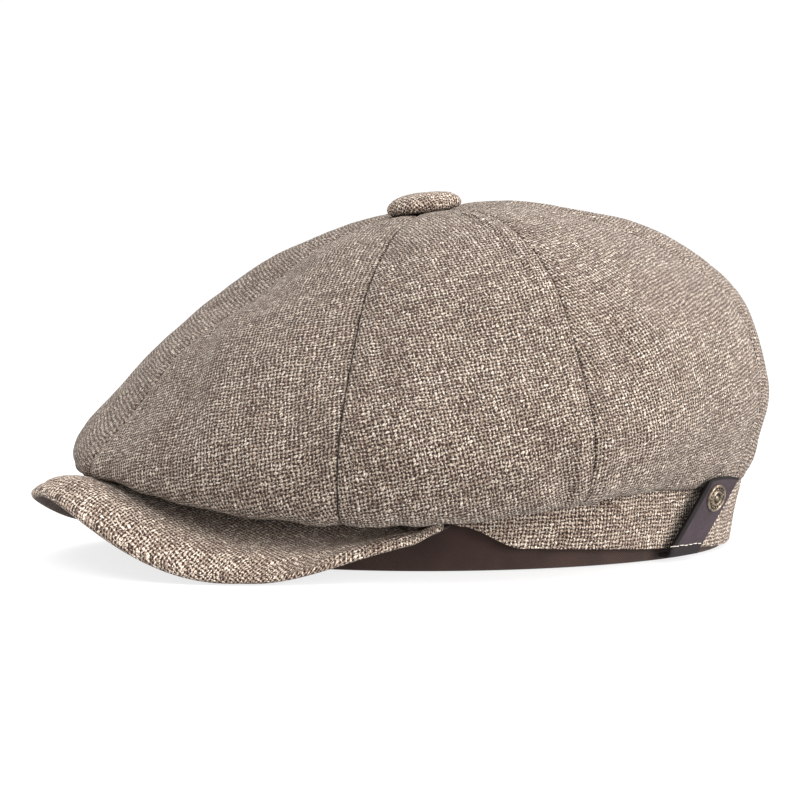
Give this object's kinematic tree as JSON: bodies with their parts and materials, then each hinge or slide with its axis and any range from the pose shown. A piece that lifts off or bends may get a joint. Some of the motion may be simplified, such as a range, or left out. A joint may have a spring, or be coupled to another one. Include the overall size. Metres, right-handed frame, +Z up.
{
  "type": "newsboy cap",
  "caption": "Panelled newsboy cap in coarse linen-look cloth with a covered top button, stiffened visor, inner sweatband and a press-stud leather tab.",
  "frame": {"origin": "middle of the whole cap seen from above, on the surface that it stands on", "axes": "+Z up, -Y the way the visor points, +X to the wearer's left, where the leather tab is"},
  "size_m": [0.2282, 0.2739, 0.1292],
  "materials": {
    "linen_weave": "coarse two-tone linen-look basket weave, matte, slubby",
    "brown_twill": "dark brown cotton twill, matte",
    "elastic_webbing": "ribbed black elastic webbing",
    "lining_satin": "thin dark brown lining satin",
    "label_weave": "blank woven label",
    "visor_plastic": "plain moulded sheet",
    "tab_leather": "dark brown smooth leather",
    "antique_metal": "antiqued dark brass"
  },
  "bodies": {
    "cap": {"crown_panel_front_left": "linen_weave", "crown_panel_side_front_left": "linen_weave", "crown_panel_side_back_left": "linen_weave", "crown_panel_back_left": "linen_weave", "crown_panel_back_right": "linen_weave", "crown_panel_side_back_right": "linen_weave", "crown_panel_side_front_right": "linen_weave", "crown_panel_front_right": "linen_weave", "outer_band_left": "linen_weave", "outer_band_right": "linen_weave", "visor_top_cover": "linen_weave", "button_cover": "linen_weave", "visor_under_cover": "brown_twill", "sweatband": "brown_twill", "back_elastic": "elastic_webbing", "visor_board": "visor_plastic", "lining_top": "lining_satin", "lining_side_left": "lining_satin", "lining_side_right": "lining_satin", "blank_label": "label_weave", "button_shell": "antique_metal", "button_back_plate": "antique_metal", "button_shank": "antique_metal", "button_washer": "antique_metal", "tab_tail": "tab_leather", "snap_stud": "antique_metal", "snap_washer": "antique_metal"},
    "tab": {"tab_flap": "tab_leather", "snap_cap": "antique_metal", "snap_socket": "antique_metal"}
  },
  "joints": [
    {"name": "tab_hinge", "type": "hinge", "parent": "cap", "child": "tab", "pos_m": [0.07759, 0.06872, 0.003], "axis": [-0.3541, 0.9352, 0], "range_deg": [0, 75]}
  ]
}
